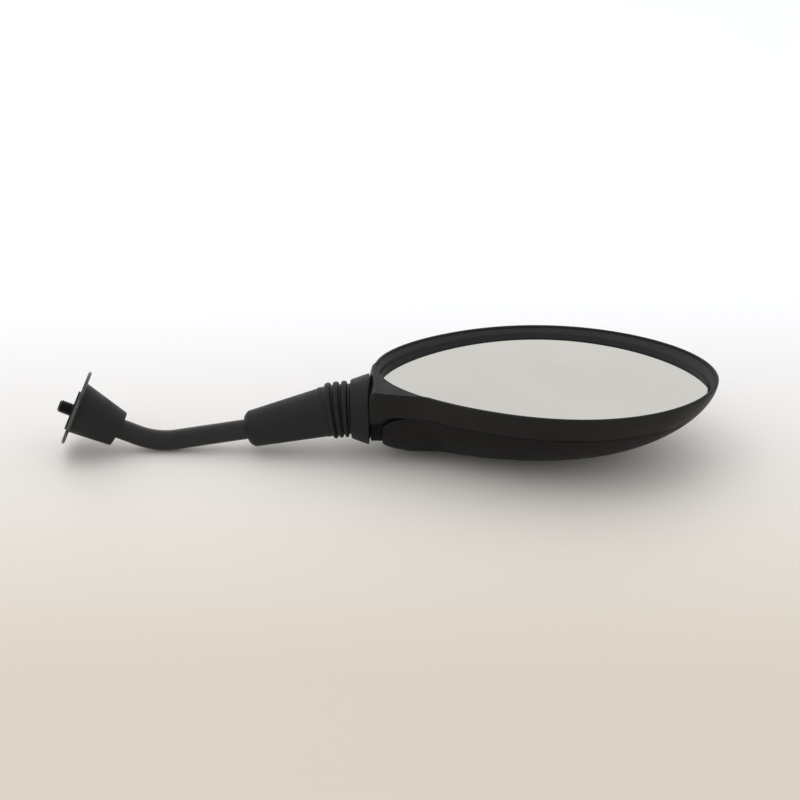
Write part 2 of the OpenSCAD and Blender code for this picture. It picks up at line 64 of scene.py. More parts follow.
# %% Sizes of the stem and the ball's place
MM = 0.001
foot_slope, leg_slope, neck_slope = 24.0, 9.4, 14.4
foot_leg, mid_leg, end_leg, bend_r = 53.3, 61.4, 50.6, 42.0
stem_r, stud_r, stud_reach, shoulder_at = 6.0, 4.0, 8.0, 14.0
spigot_r, spigot_len, rivet_at, rivet_t = 3.5, 11.0, 5.05, 0.5


def cosd(a):
    return np.cos(np.radians(a))


def sind(a):
    return np.sin(np.radians(a))


def step_along(slope, reach):
    """A straight step in the upright plane: reach times (cos slope, 0, sin slope)."""
    return reach * np.array([cosd(slope), 0.0, sind(slope)])


ball_centre = (step_along(-foot_slope, foot_leg) + step_along(leg_slope, mid_leg)
               + step_along(neck_slope, end_leg))
print("ball centre in mm:", ball_centre.round(3))

# %% [markdown]
# ## From a grid of points to a mesh
#
# Nearly every piece here is a grid: rows of points that run round the piece, one row after another
# along it. The faces of such a grid need no loop. Each face joins a point to its right-hand
# neighbour and to the same two points of the next row, so four shifted copies of one index table
# give all of them at once. A grid may close on itself in either direction, and its two ends may
# each be closed by a flat cap.

# %% Grid helper
def grid_faces(rows, cols, wrap_rows=False, flip=False):
    """Quads of a grid whose rows close round: corners (r,c), (r,c+1), (r+1,c+1), (r+1,c)."""
    index = np.arange(rows * cols).reshape(rows, cols)
    if wrap_rows:
        index = np.vstack([index, index[:1]])
    right = np.roll(index, -1, axis=1)
    quads = np.stack([index[:-1], right[:-1], right[1:], index[1:]], axis=-1).reshape(-1, 4)
    return quads[:, ::-1] if flip else quads


def add_mesh(name, points_mm, quads, caps=()):
    """Make an object from points in millimetres, quads and a few many-sided caps."""
    faces = [tuple(q) for q in quads.tolist()] + [tuple(int(i) for i in c) for c in caps]
    mesh = bpy.data.meshes.new(name)
    mesh.from_pydata((np.asarray(points_mm) * MM).tolist(), [], faces)
    mesh.validate()
    mesh.shade_smooth()
    piece = bpy.data.objects.new(name, mesh)
    bpy.context.scene.collection.objects.link(piece)
    return piece


def add_grid(name, rings, wrap_rows=False, flip=False, sharp=35.0):
    """Make an object from rings (rows, cols, 3); open ends get a flat cap each."""
    rows, cols = rings.shape[:2]
    quads = grid_faces(rows, cols, wrap_rows, flip)
    caps = []
    if not wrap_rows:
        first = np.arange(cols)
        last = first + (rows - 1) * cols
        caps = [first[::-1], last] if not flip else [first, last[::-1]]
    piece = add_mesh(name, rings.reshape(-1, 3), quads, caps)
    piece.data.set_sharp_from_angle(angle=np.radians(sharp))
    return piece


def rounded(corners, step=0.12, blur=0.5):
    """Walk along a polyline in equal steps and average each point with its near neighbours.

    The average over a window of length blur turns every corner into a small smooth radius.
    """
    corners = np.asarray(corners, float)
    run = np.r_[0, np.cumsum(np.linalg.norm(np.diff(corners, axis=0), axis=1))]
    at = np.linspace(0, run[-1], max(8, int(run[-1] / step)))
    line = np.stack([np.interp(at, run, corners[:, k]) for k in range(corners.shape[1])], axis=1)
    half = max(1, int(round(blur / (at[1] - at[0]) / 2)))
    padded = np.vstack([np.repeat(line[:1], half, 0), line, np.repeat(line[-1:], half, 0)])
    kernel = np.ones(2 * half + 1) / (2 * half + 1)
    soft = np.stack([np.convolve(padded[:, k], kernel, "valid") for k in range(line.shape[1])], axis=1)
    soft[0], soft[-1] = line[0], line[-1]
    return soft


print("a rounded right angle has", len(rounded([[0, 0], [5, 0], [5, 5]])), "points")

# %% [markdown]
# ## Colours and finishes
#
# A finish is more than a colour. Black plastic, rubber and lacquered steel are nearly the same
# colour here, and the eye tells them apart by how they shine and by their fine grain. Each finish
# below starts from the same small recipe: one noise makes the colour wander a little, a second one
# changes the shine, and a third, much finer, gives the surface its grain as a bump.

# %% Material helper
def new_finish(name):
    """An empty material with its node tree, its shader and its coordinates."""
    mat = bpy.data.materials.new(name)
    mat.use_nodes = True
    tree = mat.node_tree
    shader = tree.nodes["Principled BSDF"]
    place = tree.nodes.new("ShaderNodeTexCoord")
    return mat, tree, shader, place.outputs["Object"]


def noise(tree, place, scale, detail=3.0, rough=0.55):
    """A noise that has about 'scale' waves in one metre."""
    node = tree.nodes.new("ShaderNodeTexNoise")
    node.inputs["Scale"].default_value = scale
    node.inputs["Detail"].default_value = detail
    node.inputs["Roughness"].default_value = rough
    tree.links.new(place, node.inputs["Vector"])
    return node.outputs["Fac"]


def spread(tree, value, from_low, from_high, low, high):
    """Map a value from one range to another, clamped."""
    node = tree.nodes.new("ShaderNodeMapRange")
    node.inputs["From Min"].default_value = from_low
    node.inputs["From Max"].default_value = from_high
    node.inputs["To Min"].default_value = low
    node.inputs["To Max"].default_value = high
    tree.links.new(value, node.inputs["Value"])
    return node.outputs["Result"]


def blend_colours(tree, factor, first, second):
    """Mix two colours by a factor; each is a tuple or a socket."""
    node = tree.nodes.new("ShaderNodeMix")
    node.data_type = "RGBA"
    tree.links.new(factor, node.inputs["Factor"])
    for slot, colour in ((6, first), (7, second)):
        if isinstance(colour, tuple):
            node.inputs[slot].default_value = (*colour, 1.0)
        else:
            tree.links.new(colour, node.inputs[slot])
    return node.outputs[2]


def grain(tree, shader, height, depth_mm, strength=0.5):
    """Bump of a given depth in millimetres."""
    node = tree.nodes.new("ShaderNodeBump")
    node.inputs["Strength"].default_value = strength
    node.inputs["Distance"].default_value = depth_mm * MM
    tree.links.new(height, node.inputs["Height"])
    tree.links.new(node.outputs["Normal"], shader.inputs["Normal"])


# The flange's rim grey is partly wear and partly a painted highlight.
dust_colour, rim_grey_wear_highlight = (0.25, 0.24, 0.22), (0.10, 0.10, 0.10)


def dull_finish(name, dark, light, rough_low, rough_high, grain_scale, grain_mm, specular=0.5, dust=0.0):
    """Plastic or rubber: a wandering dark colour, a patchy shine, a fine grain and a little dust."""
    mat, tree, shader, place = new_finish(name)
    cloud = noise(tree, place, 28, 4)
    colour = blend_colours(tree, spread(tree, cloud, 0.35, 0.65, 0, 1), dark, light)
    if dust:
        specks = spread(tree, noise(tree, place, 2600, 2), 0.66, 0.74, 0, dust)
        colour = blend_colours(tree, specks, colour, dust_colour)
    tree.links.new(colour, shader.inputs["Base Color"])
    patches = spread(tree, noise(tree, place, 70, 5), 0.3, 0.7, rough_low, rough_high)
    tree.links.new(patches, shader.inputs["Roughness"])
    shader.inputs["Specular IOR Level"].default_value = specular
    grain(tree, shader, noise(tree, place, grain_scale, 2), grain_mm)
    return mat


# %% [markdown]
# The housing is moulded in a black plastic with a fine spark-eroded grain. The upper and lower
# mouldings look a little different, because the lower one faces the table, so each has its own
# black: the lower one's darker black is painted shade. A third, darkest black is painted shade for
# the parts in deep shade. The rubber of the boots is a neutral black and carries fine dust.

# %% Plastic and rubber
housing_black = dull_finish("housing_black", (0.0080, 0.0073, 0.0069), (0.0110, 0.0101, 0.0096),
                            0.42, 0.56, 1900, 0.03, specular=0.21, dust=0.07)
belly_black_painted_shade = dull_finish("belly_black_painted_shade", (0.0058, 0.0053, 0.0052), (0.0082, 0.0076, 0.0074),
                          0.44, 0.58, 1900, 0.03, specular=0.16, dust=0.05)
shade_black = dull_finish("shade_black", (0.0040, 0.0038, 0.0037), (0.0060, 0.0058, 0.0056),
                          0.55, 0.70, 1900, 0.03, specular=0.1)
boot_rubber = dull_finish("boot_rubber", (0.0058, 0.0058, 0.0062), (0.0092, 0.0092, 0.0098),
                          0.42, 0.56, 1300, 0.02, specular=0.28, dust=0.11)
pad_rubber = dull_finish("pad_rubber", (0.012, 0.012, 0.012), (0.018, 0.018, 0.018), 0.7, 0.85, 1500, 0.05)
foam_black = dull_finish("foam_black", (0.012, 0.012, 0.012), (0.03, 0.03, 0.03), 0.85, 0.95, 2500, 0.2)
cup_plastic = dull_finish("cup_plastic", (0.60, 0.58, 0.50), (0.68, 0.66, 0.58), 0.32, 0.42, 1500, 0.01)

# %% [markdown]
# The inner wall above the glass looks paler and bluer, because the glass throws the sky at it. The
# shell marks those points with an attribute, and the plastic mixes in a paler colour there.

# %% Paler inner wall
sky_lit_black = (0.046, 0.050, 0.056)
tree = housing_black.node_tree
shader = tree.nodes["Principled BSDF"]
mark = tree.nodes.new("ShaderNodeAttribute")
mark.attribute_name = "inner"
plain = shader.inputs["Base Color"].links[0].from_socket
paler = blend_colours(tree, mark.outputs["Fac"], plain, sky_lit_black)
tree.links.new(paler, shader.inputs["Base Color"])

# %% [markdown]
# ## Steel
#
# The stem is lacquered black over steel. Lacquer is a smooth coat over a slightly rougher ground,
# so the shader gets a thin coat as well. The washers, the nut and the screws are plated:
# bare metal with a fine brushed direction and a few darker stains.

# %% Lacquered and plated steel
def lacquer(name):
    """Black lacquer: dark ground, thin clear coat, a faint orange-peel bump."""
    mat, tree, shader, place = new_finish(name)
    cloud = spread(tree, noise(tree, place, 60, 4), 0.3, 0.7, 0, 1)
    ground = blend_colours(tree, cloud, (0.0048, 0.0044, 0.0041), (0.0080, 0.0074, 0.0070))
    tree.links.new(ground, shader.inputs["Base Color"])
    patches = spread(tree, noise(tree, place, 180, 5), 0.3, 0.7, 0.26, 0.42)
    tree.links.new(patches, shader.inputs["Roughness"])
    shader.inputs["Specular IOR Level"].default_value = 0.3
    shader.inputs["Coat Weight"].default_value = 0.16
    shader.inputs["Coat Roughness"].default_value = 0.16
    grain(tree, shader, noise(tree, place, 700, 2), 0.02, 0.4)
    return mat, tree, shader, place


stem_lacquer = lacquer("stem_lacquer")[0]


def plated(name, colour, stain):
    """Zinc plate: metal with fine scratches stretched along X and cloudy stains."""
    mat, tree, shader, place = new_finish(name)
    stretch = tree.nodes.new("ShaderNodeMapping")
    stretch.inputs["Scale"].default_value = (0.15, 1.0, 1.0)
    tree.links.new(place, stretch.inputs["Vector"])
    scratches = noise(tree, stretch.outputs["Vector"], 3500, 2)
    cloud = spread(tree, noise(tree, place, 350, 4), 0.35, 0.7, 0, 1)
    tree.links.new(blend_colours(tree, cloud, colour, stain), shader.inputs["Base Color"])
    tree.links.new(spread(tree, scratches, 0.3, 0.7, 0.28, 0.46), shader.inputs["Roughness"])
    shader.inputs["Metallic"].default_value = 1.0
    grain(tree, shader, scratches, 0.01, 0.3)
    return mat


zinc_plate = plated("zinc_plate", (0.56, 0.55, 0.52), (0.36, 0.35, 0.33))
spring_steel = plated("spring_steel", (0.34, 0.34, 0.35), (0.20, 0.20, 0.21))

# %% [markdown]
# ## The stem as one surface along a path
#
# The bar is turned down at both ends and threaded at one, then bent. So its surface is a radius
# that changes along a centre line. The slope of the centre line is constant on each leg and
# changes evenly round each bend; adding up its cosine and sine gives the line itself.
#
# The thread is cut into the stud. Its depth follows a triangle wave whose phase moves on by one
# pitch in one turn, which is what makes a helix out of a row of rings.

# %% Centre line of the stem
foot_turn, neck_turn = foot_slope + leg_slope, neck_slope - leg_slope
foot_cut = bend_r * np.tan(np.radians(foot_turn / 2))
neck_cut = bend_r * np.tan(np.radians(neck_turn / 2))
leg_ends = np.cumsum([foot_leg - foot_cut, bend_r * np.radians(foot_turn),
                      mid_leg - foot_cut - neck_cut, bend_r * np.radians(neck_turn), end_leg - neck_cut])
slopes = [-foot_slope, leg_slope, leg_slope, neck_slope]


def stem_line(s):
    """Place and slope of the centre line at arc length s, measured from the mounting face."""
    fine = np.linspace(-20, leg_ends[-1] + 20, 24001)
    slope = np.radians(np.interp(fine, leg_ends[:4], slopes))
    x = np.r_[0, np.cumsum((np.cos(slope[1:]) + np.cos(slope[:-1])) / 2 * np.diff(fine))]
    z = np.r_[0, np.cumsum((np.sin(slope[1:]) + np.sin(slope[:-1])) / 2 * np.diff(fine))]
    x, z = x - np.interp(0, fine, x), z - np.interp(0, fine, z)
    return np.interp(s, fine, x), np.interp(s, fine, z), np.interp(s, fine, slope)


def sweep_stem(s, radius):
    """Rings round the centre line: place + r cos(b) across + r sin(b) upward, b running round."""
    x, z, slope = (v[:, None] for v in stem_line(s))
    b = np.linspace(0, 2 * np.pi, radius.shape[1], endpoint=False)[None, :]
    up, side = radius * np.sin(b), radius * np.cos(b)
    return np.stack([x - up * np.sin(slope), -side, z + up * np.cos(slope)], axis=-1)


ball_at = leg_ends[-1]
print("length of the bar up to the ball in mm:", round(float(ball_at), 2))

# %% Stem with its thread
thread_pitch, thread_depth, around = 1.25, 0.62, 48
relief, rivet_rim, cap_r = 0.3, 0.4, 0.6
rivet_top = ball_at + rivet_at + rivet_t
outline = np.array([[-stud_reach, cap_r], [-stud_reach, stud_r - 1.1], [1 - stud_reach, stud_r], [0, stud_r],
                    [relief, stud_r - relief], [shoulder_at, stud_r - relief], [shoulder_at, stem_r - 1],
                    [shoulder_at + 1, stem_r], [ball_at - spigot_len - 2, stem_r],
                    [ball_at - spigot_len, spigot_r], [ball_at + rivet_at, spigot_r],
                    [ball_at + rivet_at, spigot_r + rivet_rim], [rivet_top, spigot_r + rivet_rim],
                    [rivet_top, cap_r]])
fine_part = rounded(outline[:6], 0.09, 0.35)
bar_part = rounded(outline[5:], 0.8, 0.4)[1:]
profile = np.vstack([fine_part, bar_part])
run_in, thread_end = 0.8, shoulder_at - 1
at = profile[:, :1]
turn = np.arange(around)[None, :] / around
phase = (at / thread_pitch - turn) % 1.0
cut = thread_depth * np.abs(2 * phase - 1)
threaded = np.clip((at + stud_reach + 0.2) / run_in, 0, 1) * np.clip((thread_end - at) / run_in, 0, 1)
on_stud = (profile[:, 1:] > stud_r - 1.5) & (at < thread_end + 0.5)
stem_radius = profile[:, 1:] - cut * threaded * on_stud
bar = add_grid("stem_bar", sweep_stem(profile[:, 0], stem_radius), flip=True, sharp=60)
bar.data.materials.append(stem_lacquer)
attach(bar, "stem")
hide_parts("stem")
print("stem faces:", len(bar.data.polygons))

# %% [markdown]
# ## Flange and base boot
#
# The flange is a plain black disc. Its rounded edge is painted a dull grey that is partly wear and
# partly a painted highlight along the rim. The grey depends on the distance from the disc's own
# centre line, so the material turns its coordinates onto that line first with a Mapping node.

# %% Flange finish
foot_dir = np.array([cosd(foot_slope), 0.0, -sind(foot_slope)])
foot_up = np.array([sind(foot_slope), 0.0, cosd(foot_slope)])
flange_shift, flange_mid, flange_top, flange_r, rim_grey_width = 2.7, 2.2, 3.2, 22.7, 0.55


def wear_and_highlight_rim(name, centre_mm, radius_mm, fade_mm):
    """Lacquer that gives way to dull grey metal toward a given radius from a tilted centre line; the grey is
    wear and a painted highlight.
    """
    mat, tree, shader, place = lacquer(name)
    turn_to = tree.nodes.new("ShaderNodeMapping")
    turn_to.vector_type = "TEXTURE"
    turn_to.inputs["Location"].default_value = Vector(centre_mm) * MM
    turn_to.inputs["Rotation"].default_value = (0, np.radians(90 + foot_slope), 0)
    tree.links.new(place, turn_to.inputs["Vector"])
    split = tree.nodes.new("ShaderNodeSeparateXYZ")
    tree.links.new(turn_to.outputs["Vector"], split.inputs["Vector"])
    flat = tree.nodes.new("ShaderNodeCombineXYZ")
    tree.links.new(split.outputs["X"], flat.inputs["X"])
    tree.links.new(split.outputs["Y"], flat.inputs["Y"])
    length = tree.nodes.new("ShaderNodeVectorMath")
    length.operation = "LENGTH"
    tree.links.new(flat.outputs["Vector"], length.inputs[0])
    edge = spread(tree, length.outputs["Value"], (radius_mm - fade_mm) * MM, radius_mm * MM, 0, 1)
    ragged = tree.nodes.new("ShaderNodeMath")
    ragged.operation = "MULTIPLY"
    tree.links.new(edge, ragged.inputs[0])
    tree.links.new(spread(tree, noise(tree, place, 260, 4), 0.38, 0.55, 0.1, 1), ragged.inputs[1])
    old = shader.inputs["Base Color"].links[0].from_socket
    rim_grey = blend_colours(tree, ragged.outputs["Value"], old, rim_grey_wear_highlight)
    tree.links.new(rim_grey, shader.inputs["Base Color"])
    tree.links.new(ragged.outputs["Value"], shader.inputs["Metallic"])
    return mat


flange_centre = foot_dir * flange_mid + foot_up * flange_shift
flange_finish = wear_and_highlight_rim("flange_finish", flange_centre, flange_r, rim_grey_width)

# %% Give the carried-over solids their finishes
finishes = {"base_flange": flange_finish, "seat_pad": pad_rubber, "lock_washer": zinc_plate,
            "lock_nut": zinc_plate, "ball": zinc_plate, "front_cup": cup_plastic,
            "rear_cup": cup_plastic, "thrust_washer": zinc_plate, "ball_housing": zinc_plate,
            "tension_spring": spring_steel, "collar_nut": zinc_plate, "glass_pad": foam_black}
for node, finish in finishes.items():
    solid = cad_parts[node]
    solid.data.materials.clear()
    solid.data.materials.append(finish)
print("solids with a new finish:", len(finishes))

# %% [markdown]
# The base boot is a straight cone whose axis leans against the stem, because it stands on the
# flange, whose middle is a little above the stud. Each line of the cone starts on the flange's
# face. Where it starts follows from one linear equation: the height above the mounting face is the
# same for all lines, and the lean of each line's direction is known.

# %% Base boot surface
boot_tilt, boot_cone, boot_small_r, boot_span = 7.5, 0.163, 10.9, 26.6
boot_grip_r, boot_room_r, lip_len, lip_swell = 5.2, 8.6, 1.6, 0.26
grip_len, room_at = 6, 8
boot_cross = flange_top + flange_shift / np.tan(np.radians(boot_tilt))
boot_tip = boot_span - (boot_cross - flange_top) / cosd(boot_tilt)


def base_boot_rings(sides=96):
    """Rings of the cone: start + a axis + r w(b), with r = r0 + cone (a0 - a) on its straight walls."""
    axis = cosd(boot_tilt) * foot_dir - sind(boot_tilt) * foot_up
    across = -cosd(boot_tilt) * foot_up - sind(boot_tilt) * foot_dir
    b = np.linspace(0, 2 * np.pi, sides, endpoint=False)[:, None]
    w = np.cos(b) * across + np.sin(b) * np.array([0, 1.0, 0])
    lean = (w @ foot_dir)[:, None]

    def ring(a, r):
        return boot_cross * foot_dir + a * axis + r * w

    def wall(a_top, r_top, rows):
        a_low = ((flange_top - boot_cross - (r_top + boot_cone * a_top) * lean)
                 / (cosd(boot_tilt) - boot_cone * lean))
        return [ring(a_low + (a_top - a_low) * k, r_top + boot_cone * (a_top - a_low) * (1 - k))
                for k in np.linspace(0, 1, rows)]

    tip, shoulder_r = boot_tip, boot_small_r + lip_swell
    lip = rounded([[tip - lip_len, shoulder_r], [tip, boot_small_r], [tip, boot_grip_r],
                   [tip - grip_len, boot_grip_r], [tip - room_at, boot_room_r]], 0.25, 1.1)
    outside = wall(tip - lip_len, shoulder_r, 30)
    inside = wall(tip - room_at, boot_room_r, 12)
    return np.stack(outside + [ring(*place) for place in lip[1:]] + inside[-2::-1])


base_boot = add_grid("base_boot_rubber", base_boot_rings(), wrap_rows=True, flip=True, sharp=60)
base_boot.data.materials.append(boot_rubber)
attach(base_boot, "stem")
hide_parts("base_boot")
print("base boot faces:", len(base_boot.data.polygons))

# %% [markdown]
# ## The neck boot
#
# One rubber moulding: a sleeve that grips the stem, a lip, three ribs that let it bend, and a
# flared collar against the head. Its profile is a polyline that is rounded by the same averaging as
# before. Each point of the profile becomes a ring, and the rings follow a centre line that is
# straight on the stem, straight on the neck and an arc across the ribs. The inside is drawn too, so
# the rubber has its real wall.

# %% Neck boot surface
flex_len, sleeve_reach, lip_at, collar_at = 9.0, 56.0, 8.4, 18.0
sleeve_end_r, sleeve_lip_r, bore_r, lip_r, room_r = 10.7, 14.7, 6.15, 15.0, 14.0
flex_r = flex_len / np.tan(np.radians(neck_slope / 2))
flex_hub = np.array([flex_r * sind(neck_slope) - flex_len * cosd(neck_slope),
                     -flex_r * cosd(neck_slope) - flex_len * sind(neck_slope)])


def boot_rings(s, r, sides=128):
    """Ring at boot length s with radius r: its plane leans by the centre line's slope there.

    The slope falls evenly from the stem's to zero between s = -9 and 9, so the line is an arc.
    """
    lean = neck_slope * np.clip((flex_len - s) / (2 * flex_len), 0, 1)
    x = np.where(s < -flex_len, s * cosd(neck_slope),
                 np.where(s > flex_len, s, flex_hub[0] - flex_r * sind(lean)))
    z = np.where(s < -flex_len, s * sind(neck_slope),
                 np.where(s > flex_len, 0, flex_hub[1] + flex_r * cosd(lean)))
    b = np.linspace(0, 2 * np.pi, sides, endpoint=False)[None, :]
    x, z, lean, r = x[:, None], z[:, None], np.radians(lean)[:, None], r[:, None]
    up, side = r * np.cos(b), r * np.sin(b)
    return np.stack([x - up * np.sin(lean), side, z + up * np.cos(lean)], axis=-1) + ball_centre


def sleeve_r(s):
    """Radius of the sleeve, which widens evenly from its small end to the lip."""
    return sleeve_end_r + (sleeve_lip_r - sleeve_end_r) * (sleeve_reach + s) / (sleeve_reach - lip_at)


rib_places, groove_r, rib_r = (-4.2, -0.1, 4.0), 15.2, 16.7
groove_low, rib_low = groove_r - 0.3, rib_r - 0.3
chamfer_at = 2.5 - sleeve_reach
boot_outline = [[-sleeve_reach, bore_r], [-sleeve_reach, sleeve_end_r - 2],
                [chamfer_at, sleeve_r(chamfer_at)], [-lip_at - 1.6, sleeve_r(-lip_at - 1.6)],
                [-lip_at - 1, lip_r], [-lip_at, lip_r], [-lip_at + 0.6, groove_low]]
for c in rib_places:
    boot_outline += [[c - 1.6, groove_low], [c - 1.2, rib_low], [c - 0.5, rib_r + 0.1],
                     [c + 0.5, rib_r + 0.1], [c + 1.2, rib_low], [c + 1.6, groove_low]]
boot_outline += [[6.9, groove_low], [7.3, 17.1], [8, 17.7], [collar_at - 1.4, 20.75],
                 [collar_at - 0.7, 21.05], [collar_at, 20.6]]
boot_inside = [[collar_at, 18.0], [8, 14.7], [6, room_r], [-9, room_r], [-20, 11.1], [-32, bore_r + 1],
               [-33, bore_r], [-sleeve_reach, bore_r]]
outer = rounded(boot_outline, 0.16, 0.7)
inner = rounded(boot_inside, 1.2, 0.6)[:-1]
boot_profile = np.vstack([outer, inner])
neck_boot = add_grid("neck_boot_rubber", boot_rings(boot_profile[:, 0], boot_profile[:, 1]), wrap_rows=True,
                     flip=False, sharp=70)
neck_boot.data.materials.append(boot_rubber)
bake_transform(neck_boot)
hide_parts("neck_boot")
print("neck boot faces:", len(neck_boot.data.polygons))

# %% [markdown]
# ## The skin of the head
#
# The head is one formula. Seen from above, the rim is an oval that is a little blunt at both ends,
# slanted, and tapered toward the free end. Going down from the rim, each point of the oval is
# pulled in toward the lowest point of the belly by a superellipse, which keeps the sides full and
# then closes them quickly. Near the neck the skin is pushed out to a face, which is flat on the
# shell and round on the cover, with a smooth minimum so that no crease shows.

# %% Formulas of the skin
head_len, head_wide, head_depth, rim_start, head_shift = 202.0, 129.5, 48.0, 21.0, 10.2
head_reach = rim_start + head_len / 2
rim_rise, rim_blunt, rim_slant, rim_taper = 20.8, 2.4, 8.7, 2.7
keel_reach, keel_shift, neck_full, tip_full = 96.0, 7.4, 4.6, 1.9
neck_side_full, tip_side_full = 2.5, 1.7
shell_wall, cover_wall, rim_round, split_gap = 2.6, 2.2, 1.0, 0.4
split_depth, split_drop, floor_depth, floor_t = 14.4, 6.8, 9.8, 2.0
step_start, step_len, step_gap = 20.8, 3.1, 1.1
neck_end, neck_half, neck_reach = 18.1, 20.0, 60.0
stub_start, stub_end, stub_r = 18.9, 26.6, 19.0
near_lead, near_back, far_lead, far_back = 0.5, 0.8, 3.0, 0.25
top_from, top_back, cover_end, cover_back = 12.0, 2.9, 25.8, 0.65


def rim_xy(t):
    """Rim seen from above: an ellipse plus a third harmonic, a slant and a taper."""
    x = head_reach + (head_len / 2 - rim_blunt) * cosd(t) + rim_blunt * cosd(3 * t) - rim_slant * sind(t)
    y = head_shift + head_wide / 2 * sind(t) + rim_taper * sind(2 * t)
    return x, y


def pull(u, power):
    """Superellipse: 1 at the rim and 0 at the lowest point."""
    return np.clip(1 - np.clip(u, 0, 1) ** power, 0, None) ** (1 / power)


def skin(t, d, inset=0.0, wall=0.0):
    """Point of the skin at rim angle t and depth d; inset moves it in, wall makes an inner skin."""
    x, y = rim_xy(t)
    u = d / (head_depth - wall)
    tip_part = (1 + cosd(t)) / 2
    end_full = neck_full + (tip_full - neck_full) * tip_part
    side_full = neck_side_full + (tip_side_full - neck_side_full) * tip_part
    qx, qy = (x - keel_reach) * pull(u, end_full), (y - keel_shift) * pull(u, side_full)
    reach = np.hypot(x - keel_reach, y - keel_shift) if wall else np.hypot(qx, qy)
    k = 1 - (inset + wall) / np.maximum(reach, 1e-6)
    return np.stack(np.broadcast_arrays(keel_reach + qx * k, keel_shift + qy * k, rim_rise - d), axis=-1)


def push_to(p, face, nearest):
    """Move x of the points out to a face by a smooth minimum, and never past the nearest x."""
    soft = 4.0
    near = np.clip(soft - np.abs(p[..., 0] - face), 0, None) / soft
    x = np.maximum(np.minimum(p[..., 0], face) - near ** 2 * soft / 4, nearest)
    return np.stack([np.where(p[..., 0] > neck_reach, p[..., 0], x), p[..., 1], p[..., 2]], axis=-1)


def neck_push(p, inset=0.0):
    """The shell's neck: flat over the neck's width, rounded back beyond it and near its top."""
    near_side = near_back * np.clip(near_lead - neck_half - p[..., 1], 0, None) ** 2
    far_side = far_back * np.clip(p[..., 1] - neck_half + far_lead, 0, None) ** 2
    top = top_back * (np.clip(p[..., 2] - top_from, 0, None) / (rim_rise - top_from)) ** 2
    return push_to(p, neck_end + near_side + far_side + top + inset, neck_end + inset)


def cover_push(p, wall=0.0):
    """The cover's end behind the stub: a round face as wide as the neck."""
    beyond = np.clip(np.hypot(p[..., 1], p[..., 2]) - neck_half + wall, 0, None)
    return push_to(p, cover_end + wall + cover_back * beyond ** 2, cover_end + wall)


def shut_depth(t, gap=0.0):
    """Depth of the shut line: level along the sides, one step lower across the neck."""
    beyond = np.clip((np.abs(rim_xy(t)[1]) - step_start - gap) / step_len, 0, 1)
    rise = np.where(cosd(t) > 0, 1.0, beyond)
    return split_depth + (split_drop + gap) * (1 - rise * rise * (3 - 2 * rise))


angles = np.linspace(0, 360, 361)[:-1]
angles = angles + np.degrees(0.5 * np.sin(np.radians(angles)))
rim_x = rim_xy(angles)[0]
print("rim from", rim_x.min().round(2), "to", rim_x.max().round(2), "mm from the ball")

# %% [markdown]
# ## Front shell
#
# The shell is a tray: an inner wall round the glass, a rounded rim, the outer wall down to the shut
# line, and a floor that carries the glass. Its rings run from the middle of the floor up the inside,
# over the rim and down the outside, then back under the floor.

# %% Front shell surface
def toward_middle(ring, k):
    """Shrink a ring toward the head's middle to k of its size, at its own height."""
    middle = np.array([head_reach, head_shift, 0.0])
    flat = np.array([1.0, 1.0, 0.0])
    return ring * (1 - flat) + (middle + (ring - middle) * k) * flat


def shell_rings(t):
    """Rings of the front shell, listed from the floor's middle to the underside's middle."""
    floor_ring = skin(t, floor_depth + 0 * t, shell_wall)
    rings = [toward_middle(floor_ring, k) for k in (0.05, 0.4, 0.8)]
    rings += [skin(t, d + 0 * t, shell_wall) for d in np.linspace(floor_depth, rim_round, 14)]
    for b in np.linspace(180, 0, 13)[1:-1]:
        inset = shell_wall * (1 - cosd(b)) / 2
        rings.append(neck_push(skin(t, rim_round * (1 - sind(b)) + 0 * t, inset), inset))
    side = shut_depth(t) - rim_round
    rings += [neck_push(skin(t, rim_round + side * k)) for k in np.linspace(0, 1, 40)]
    low_edge, edge_inset = shut_depth(t) + 0.15, 0.25
    rings += [neck_push(skin(t, low_edge, edge_inset)), skin(t, low_edge, shell_wall)]
    under = skin(t, floor_depth + floor_t + 0 * t, shell_wall)
    rings += [under] + [toward_middle(under, k) for k in (0.8, 0.4, 0.05)]
    return np.stack(rings) + ball_centre


front = add_grid("housing_front", shell_rings(angles), flip=True, sharp=50)
inner_rows = 16
in_wall = np.arange(len(front.data.vertices)) // len(angles) < inner_rows
inner = front.data.attributes.new("inner", "FLOAT", "POINT")
inner.data.foreach_set("value", in_wall.astype(np.float32))
front.data.materials.append(housing_black)
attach(front, "head")
print("front shell faces:", len(front.data.polygons))

# %% [markdown]
# The neck continues below the shell as a short round stub in deep shade. A round plug reaches from
# it into the boot's collar, so that no light shows through the joint. The three bosses for the
# screws hang from the floor. All of them are turned shapes: one profile spun round an axis.

# %% Turned shapes
def turned(name, profile_mm, origin_mm, axis, sides=96):
    """Spin a profile of (along, radius) round an axis through a point; a closed profile makes a tube.

    The outside is drawn in the direction of the axis, and the faces then point inward.
    """
    profile_mm = np.asarray(profile_mm, float)
    axis = np.asarray(axis, float) / np.linalg.norm(axis)
    side = np.cross(axis, [0, 1, 0] if abs(axis[1]) < 0.9 else [1, 0, 0])
    side /= np.linalg.norm(side)
    other = np.cross(axis, side)
    b = np.linspace(0, 2 * np.pi, sides, endpoint=False)[None, :, None]
    along, r = profile_mm[:, 0, None, None], profile_mm[:, 1, None, None]
    rings = along * axis + r * (np.cos(b) * side + np.sin(b) * other) + np.asarray(origin_mm)
    closed = np.allclose(profile_mm[0], profile_mm[-1])
    return add_grid(name, rings[:-1] if closed else rings, wrap_rows=closed, flip=True, sharp=40)


